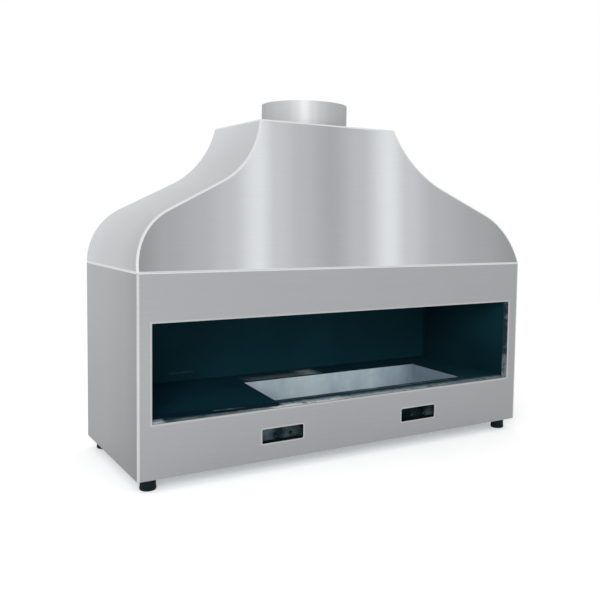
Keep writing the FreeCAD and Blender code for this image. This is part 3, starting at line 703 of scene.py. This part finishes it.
# Painted shade: the pan's walls darken towards its bottom and towards both ends.
colour = times(tree, colour, ramp(tree, between(tree, axes[2], pan_low.z, sill),
                                  [(0, (0.5, 0.55, 0.57, 1)), (0.45, untouched), (1, untouched)]))
colour = times(tree, colour, ramp(tree, between(tree, axes[0], -0.25, 0.542),
                                  [(0, (0.78, 0.78, 0.78, 1)), (0.3, (0.93, 0.93, 0.93, 1)), (0.5, untouched),
                                   (0.76, untouched), (0.9, (0.90, 0.88, 0.88, 1)), (1, (0.47, 0.50, 0.52, 1))]))
# Painted shade: the top of the rim is darkened to a dark, uneven line.
rim = between(tree, axes[2], sill + 0.0002, sill + 0.0006)
rim_painted_shade = between(tree, noise(tree, place, 11.0, 3.0), 0.52, 0.64, 0.04, 0.3)
colour = times(tree, colour, mixed(tree, rim, untouched, rim_painted_shade))
join(tree, shader, colour, between(tree, streaks, 0.3, 0.7, 0.45, 0.6), fine, 0.05)
pan = eased("charcoal_pan", 0.0004, pan_steel, "casing", "stainless_pan", shortest=0.02)
dress(pan_steel, "grate_ledge_front", "grate_ledge_rear")

scorched_steel, tree, shader, place = finish("scorched_pan_steel", 0.55, metal=0.6)
bloom = noise(tree, place, 12.0, 2.0)
scorch = mixed(tree, between(tree, bloom, 0.46, 0.60), (0.008, 0.040, 0.052, 1), (0.035, 0.075, 0.09, 1))
join(tree, shader, scorch, between(tree, bloom, 0.3, 0.7, 0.45, 0.65), bloom, 0.1)
# Painted highlights: lighter patches on the pan's scorched front wall, where it shows through the air inlets.
for left, right, low, high, soft, share in ((-0.300, -0.272, 0.078, 0.125, 0.014, 0.85),
                                            (-0.218, -0.172, 0.085, 0.125, 0.020, 0.85),
                                            (0.385, 0.410, 0.080, 0.120, 0.016, 1.0)):
    dust_and_glint(scorched_steel, (left, -0.2, low), (right, -0.19, high), soft, share, (0.30, 0.46, 0.52, 1))
pan.data.materials.append(scorched_steel)
pan_middle = (pan_low + pan_high) / 2
under_rim = pan_high.z - 0.004
for face in pan.data.polygons:
    away = face.center - pan_middle
    outside = away.x * face.normal.x > 0.2 or away.y * face.normal.y > 0.05 or face.normal.z < -0.5
    if face.center.z < under_rim and outside:
        face.material_index = 1

cast_iron, tree, shader, place = finish("cast_iron", 0.75, metal=0.0, specular=0.3)
sand = noise(tree, place, 420.0, 4.0, rough=0.7)
rust = noise(tree, place, 22.0, 4.0)
rusty = mixed(tree, between(tree, rust, 0.55, 0.75), (0.020, 0.021, 0.022, 1), (0.055, 0.030, 0.018, 1))
join(tree, shader, rusty, between(tree, sand, 0.3, 0.7, 0.6, 0.85), sand, 0.5, 0.0006)
for number in range(1, 5):
    name = "charcoal_grate_%d" % number
    eased(name, 0.0009, cast_iron, name, "grate_iron")

# Cover plate
# A loose 8 mm plate of blackened steel with ground edges, laid a little askew on the rim over the
# pan's left end, to close off the part of the fire that isn't needed.
black_cover = black_enamel("black_cover_plate", (0.003, 0.024, 0.037, 1), (0.005, 0.031, 0.046, 1),
                           0.7, 0.06)
cover = eased("cover_plate", 0.0008, black_cover, "cover_plate", "black_cover", shortest=0.0005)
cover_turn = math.radians(5.0)
turned_back = Matrix.Rotation(cover_turn, 3, "Z")
cover_front = min((turned_back @ vertex.co).y for vertex in cover.data.vertices)
front_shade = cover_front + 0.02
# Painted shade along the plate's front edge, and painted light towards its rear.
toned(black_cover, 1, cover_front + 0.001, front_shade, 0.4, 1.0, cover_turn)
toned(black_cover, 1, front_shade, cover_front + 0.31, 1.0, 1.5, cover_turn)
# A painted glint: a thin light streak along part of the plate's front top edge.
dust_and_glint(black_cover, (-0.476, cover_front + 0.0004, sill + 0.0074),
       (-0.377, cover_front + 0.0012, sill + 0.0085), 0.0015, 0.35, (0.20, 0.28, 0.32, 1), cover_turn)

# Casing joint
# An angle frame in the casing's mouth and a flat frame in the hood's foot, with a braided fibre
# gasket between them, drawn together by 28 hexagon bolts and nuts.
dress(galvanised, "casing_joint_frame", "hood_joint_frame")
gasket, tree, shader, place = finish("fibre_gasket", 0.9, specular=0.1)
braid = add(tree, "TexWave", {"Vector": place, "Scale": 60.0, "Distortion": 1.5},
            bands_direction="DIAGONAL").outputs["Fac"]
join(tree, shader, mixed(tree, braid, (0.55, 0.52, 0.46, 1), (0.74, 0.71, 0.64, 1)),
     None, braid, 0.4, 0.0008)
dress(gasket, "joint_gasket")


def six_sided(bm, across_flats, low, high, bore=0.0):
    """A six-sided head or nut with its corners chamfered, bored through where it is a nut."""
    flat = across_flats / 2
    radius = flat / math.cos(math.pi / 6)
    chamfer = radius - flat
    outline = [(bore, low), (flat * 0.95, low), (radius, low + chamfer), (radius, high - chamfer),
               (flat * 0.95, high), (bore, high)]
    lathe(bm, 0, 0, outline, 6, closed=bool(bore))


bolt_low, bolt_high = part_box("joint_bolts")
nut_low, nut_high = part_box("joint_nuts")
head_across, head_height, bolt_radius, bolt_tip = 0.010, 0.004, 0.003, 0.0008
bolt = bmesh.new()
six_sided(bolt, head_across, bolt_low.z, bolt_low.z + head_height)
lathe(bolt, 0, 0, [(0, bolt_low.z + head_height), (bolt_radius, bolt_low.z + head_height),
                   (bolt_radius, bolt_high.z - bolt_tip), (bolt_radius - bolt_tip, bolt_high.z),
                   (0, bolt_high.z)], 16)
nut = bmesh.new()
six_sided(nut, head_across, nut_low.z, nut_high.z, bolt_radius + 0.0001)
row_half, side_half = 0.6785, 0.211
rows = {"Row Half": row_half, "Front Line": bolt_low.y + head_across / 2,
        "Rear Line": bolt_high.y - head_across / 2,
        "Side Line": bolt_high.x - head_across / 2 / math.cos(math.pi / 6),
        "Side Front": -side_half, "Side Rear": side_half, "Height": 0.0, "Per Row": 10, "Per Side": 4}
bolt_rows = fastener_rows("joint_bolt_rows", zinc_plate)
set_rows("joint_bolts_set", bolt_rows, bolt, rows, "casing", "bolt_steel", "joint_bolts")
set_rows("joint_nuts_set", bolt_rows, nut, rows, "casing", "bolt_steel", "joint_nuts")

# Smoke hood
# Five sheets of brushed stainless welded along their edges: a front that leans back, a plain back,
# two flanks that follow an ogee, and a flat top with the hole for the flue. Every weld is ground
# round and polished, with a painted highlight along it, and the foot is rolled over like the casing's top
# edge.
hood_base = casing_high.z
top_low, top_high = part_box("hood_top")
flue_low, flue_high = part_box("flue_collar")
shoulder_leg, neck_leg, neck_angle = 0.128, 0.151, math.radians(76.5)
flue_radius, flue_play = 0.1575, 0.0003


def ogee(steps):
    """The hood's half width and height from foot to top: a shoulder arc, a straight, a neck arc."""
    run, rise = casing_high.x - top_high.x, top_high.z - hood_base
    slope = math.atan2(rise - neck_leg * math.sin(neck_angle) - shoulder_leg,
                       run - neck_leg * math.cos(neck_angle))
    shoulder = shoulder_leg / math.tan((math.pi / 2 - slope) / 2)
    neck = neck_leg / math.tan((neck_angle - slope) / 2)
    outline = []
    for step in range(steps + 1):
        turn = math.pi / 2 + (slope - math.pi / 2) * step / steps
        outline.append((shoulder - shoulder * math.sin(turn), shoulder * math.cos(turn)))
    for step in range(steps + 1):
        turn = slope + (neck_angle - slope) * step / steps
        outline.append((run - neck * math.sin(neck_angle) + neck * math.sin(turn),
                        rise + neck * math.cos(neck_angle) - neck * math.cos(turn)))
    band_inward = shoulder - math.sqrt(shoulder ** 2 - seam_band ** 2)
    outline[:1] = [(0, seam_round), (band_inward, seam_band)]
    return [(casing_high.x - inward, hood_base + up) for inward, up in outline]


def front_at(z):
    """Where the leaning front stands at a height."""
    return casing_low.y + (z - hood_base) / (top_high.z - hood_base) * (top_low.y - casing_low.y)


def hood_skin():
    """The outside of the hood as one surface, before it is parted into sheets."""
    bm = bmesh.new()
    back = casing_high.y
    outline = ogee(14)
    for (wide, low), (narrow, high) in zip(outline, outline[1:]):
        finish_here = seam_highlight if low < hood_base + seam_band - near else brushed
        for y_low, y_high, way in ((front_at(low), front_at(high), (0, -1, 0)), (back, back, (0, 1, 0))):
            facing(bm, [(-wide, y_low, low), (wide, y_low, low), (narrow, y_high, high),
                        (-narrow, y_high, high)], way, finish_here)
        for side in (-1, 1):
            facing(bm, [(side * wide, front_at(low), low), (side * wide, back, low),
                        (side * narrow, back, high), (side * narrow, front_at(high), high)],
                   (side, 0, 0.5), finish_here)
    z, half = top_high.z, top_high.x
    centre_y, hole = (flue_low.y + flue_high.y) / 2, flue_radius + flue_play
    arcs = [[(hole * math.cos(turn), centre_y + hole * math.sin(turn), z)
             for turn in [math.pi / 2 * (number + step / 20) for step in range(21)]] for number in range(4)]
    holed(bm, [(half, back, z), (-half, back, z), (-half, top_low.y, z), (half, top_low.y, z)], arcs,
          (0, 0, 1))
    bmesh.ops.remove_doubles(bm, verts=bm.verts, dist=same)
    return bm


# Painted reflection bands: soft light and dark upright bands across the hood's front and back. The front's
# bands lean as they climb.
hood_front_steel = brushed_steel(
    "hood_front_steel",
    [(0, 150), (0.06, 166), (0.13, 177), (0.19, 191), (0.256, 222), (0.3, 198), (0.36, 184), (0.433, 170),
     (0.51, 188), (0.593, 224), (0.645, 199), (0.73, 179), (0.87, 165), (1, 150)],
    (hood_base, top_high.z, 1.0, 1.0), across, lean=(0.080, 0.125))
hood_back_steel = brushed_steel(
    "hood_back_steel", [(0, 152), (0.14, 168), (0.27, 184), (0.36, 206), (0.45, 182), (0.58, 172), (0.7, 190),
                        (0.78, 200), (0.88, 176), (1, 152)], (hood_base, top_high.z, 1.0, 1.0), across)
# Painted light and shade: the flanks lighten towards the back and towards the top, with a darker band partway
# up.
hood_flank_steel = brushed_steel("hood_flank_steel", [(0, 184), (0.4, 198), (1, 209)],
                                 (hood_base, top_high.z, 0.91, 0.95, 0.88, 0.93, 1.04), upright, painted_axis=1)
# Painted highlight: the ground weld rounds of the hood get a bright tone.
hood_weld_highlight = polished_steel("hood_weld_highlight", 227, 0.45)
# Painted light: the top plate is given a lighter tone, with a painted sheen along its middle.
hood_top_steel = brushed_steel("hood_top_steel", [(0, 212), (0.5, 220), (1, 212)],
                               (hood_base, top_high.z, 1.0, 1.0), across)

skin = hood_skin()
roll_edges(skin, lambda p: True, corner_round, weld_highlight, sharper=0.5, square=ground_square)
turn_in(skin, hood_base + seam_round, -1)


def of_hood_front(p):
    lean = math.atan2(top_low.y - casing_low.y, top_high.z - hood_base)
    return (p.y - front_at(p.z)) * math.cos(lean) < corner_round + near


def of_hood_top(p):
    return p.z > top_high.z - corner_round - near and not of_hood_front(p) and not of_back(p)


parted("hood_front_sheet", skin, of_hood_front, [hood_front_steel, hood_weld_highlight, seam_polish_highlight], "casing",
       "stainless_hood", "hood_front")
parted("hood_back_sheet", skin, of_back, [hood_back_steel, hood_weld_highlight, seam_polish_highlight], "casing",
       "stainless_hood", "hood_back")
parted("hood_top_sheet", skin, of_hood_top, [hood_top_steel, hood_weld_highlight, seam_polish_highlight], "casing",
       "stainless_hood", "hood_top")
for side, hand in ((-1, "left"), (1, "right")):
    parted("hood_side_sheet_" + hand, skin,
           lambda p: not of_hood_front(p) and not of_back(p) and not of_hood_top(p) and p.x * side > 0,
           [hood_flank_steel, hood_weld_highlight, seam_polish_highlight], "casing", "stainless_hood", "hood_side_" + hand)
skin.free()

# Flue collar
# A round spigot rolled from brushed stainless, flanged under the top plate and welded round its
# foot, for the extraction duct to slip over.
weld_leg, lip_round = 0.004, 0.0004
collar_low, collar_foot, collar_high = flue_low.z, top_high.z, flue_high.z
collar_y = (flue_low.y + flue_high.y) / 2
inside = flue_radius - sheet
flange_edge = (flue_high.x - flue_low.x) / 2
collar = bmesh.new()
lathe(collar, 0, collar_y,
      [(inside, collar_low), (flange_edge, collar_low), (flange_edge, collar_low + sheet),
       (flue_radius, collar_low + sheet), (flue_radius, collar_foot), (flue_radius + weld_leg, collar_foot),
       (flue_radius + weld_leg * 0.45, collar_foot + weld_leg * 0.25),
       (flue_radius + weld_leg * 0.16, collar_foot + weld_leg * 0.55), (flue_radius, collar_foot + weld_leg),
       (flue_radius, collar_high - lip_round), (flue_radius - lip_round, collar_high),
       (inside + lip_round, collar_high), (inside, collar_high - lip_round)], 128, closed=True)
collar_steel, tree, shader, place = finish("collar_steel", 0.5, metal=1.0)
fine = noise(tree, place, 1.0, 3.0, across, 0.6)
# Painted highlight: a soft bright band down one side of the spigot, at a fixed turn of its round.
band_turn = math.radians(29.4)
across_bands = add(tree, "SeparateXYZ", {0: add(tree, "Mapping", {
    "Vector": place, "Rotation": (0, 0, band_turn)}).outputs[0]}).outputs[0]
band_middle = -collar_y * math.sin(band_turn)
round_it = between(tree, across_bands, band_middle - flue_radius, band_middle + flue_radius)
tones = [(0, 180), (0.1, 195), (0.2, 202), (0.3, 206), (0.4, 214), (0.5, 230), (0.6, 211), (0.7, 197),
         (0.8, 187), (0.9, 182), (1, 174)]
painted_highlight_band = ramp(tree, round_it, [(stop, grey(tone, 0.01)) for stop, tone in tones])
height = add(tree, "SeparateXYZ", {0: place}).outputs[2]
weld = between(tree, height, collar_foot + weld_leg * 1.2, collar_foot + weld_leg)
colour = times(tree, painted_highlight_band, between(tree, fine, 0.25, 0.75, 0.95, 1.03))
colour = mixed(tree, weld, colour, grey(214))
join(tree, shader, colour, between(tree, fine, 0.2, 0.8, 0.57, 0.65), fine, 0.05)
piece("flue_collar_spigot", collar, [collar_steel], "casing", "stainless_flue", "flue_collar")

# Room
# A plain pale floor that runs out into a white surround, a soft lamp and a broader, fainter one at
# the front left, and the camera.
floor_mesh = bpy.data.meshes.new("floor")
far = 30
floor_mesh.from_pydata([(-far, -far, 0), (far, -far, 0), (far, far, 0), (-far, far, 0)], [], [(0, 1, 2, 3)])
floor = bpy.data.objects.new("floor", floor_mesh)
bpy.context.scene.collection.objects.link(floor)
pale_floor, tree, shader, place = finish("pale_floor", 0.9, specular=0.0)
shader.inputs["Base Color"].default_value = (0.86, 0.86, 0.86, 1)


def seen_rays(tree):
    """One for what is seen straight, mirrored or through glass, and nought for light itself."""
    rays = add(tree, "LightPath").outputs
    seen = reckoned(tree, "MAXIMUM", rays["Is Camera Ray"], rays["Is Glossy Ray"])
    return reckoned(tree, "MAXIMUM", seen, rays["Is Transmission Ray"])


seen = seen_rays(tree)
glow = add(tree, "Emission", {"Color": (1, 1, 1, 1), "Strength": 0.33}).outputs[0]
lifted = add(tree, "AddShader", {0: shader.outputs[0], 1: glow}).outputs[0]
chosen = add(tree, "MixShader", {0: seen, 1: shader.outputs[0], 2: lifted}).outputs[0]
tree.links.new(chosen, tree.nodes["Material Output"].inputs["Surface"])
floor_mesh.materials.append(pale_floor)

world = bpy.data.worlds.new("studio")
bpy.context.scene.world = world
world.use_nodes = True
tree = world.node_tree
backdrop = tree.nodes["Background"]
backdrop.inputs["Color"].default_value = (1, 1, 1, 1)
tree.links.new(between(tree, seen_rays(tree), 0, 1, 0.78, 1.0), backdrop.inputs["Strength"])

lamp_spot, lit_spot = Vector((-2.3, -3.1, 1.7)), Vector((0, 0, 0.5))
for name, size, power in (("key", 1.4, 66.0), ("sheen", 2.2, 14.0)):
    lamp_data = bpy.data.lights.new(name, "AREA")
    lamp_data.shape, lamp_data.size, lamp_data.energy = "SQUARE", size, power
    lamp = bpy.data.objects.new(name, lamp_data)
    lamp.visible_glossy = name == "sheen"
    bpy.context.scene.collection.objects.link(lamp)
    aim = (lit_spot - lamp_spot).to_track_quat("-Z", "Y").to_matrix().to_4x4()
    lamp.matrix_world = Matrix.Translation(lamp_spot) @ aim

camera_data = bpy.data.cameras.new("camera")
camera_data.sensor_width, camera_data.lens = 36.0, 46.125
camera_data.shift_x, camera_data.shift_y = -0.0612, -0.0512
camera = bpy.data.objects.new("camera", camera_data)
bpy.context.scene.collection.objects.link(camera)
heading, pitch, roll = math.radians(-32.0267), math.radians(3.9526), math.radians(0.8623)
turn = (Matrix.Rotation(heading, 4, "Z") @ Matrix.Rotation(math.pi / 2 - pitch, 4, "X")
        @ Matrix.Rotation(roll, 4, "Z"))
camera_spot = Vector((-1.4244, -2.4314, 0.82045))
camera.matrix_world = Matrix.Translation(camera_spot) @ turn
bpy.context.scene.camera = camera
bpy.context.scene.view_settings.view_transform = "Standard"
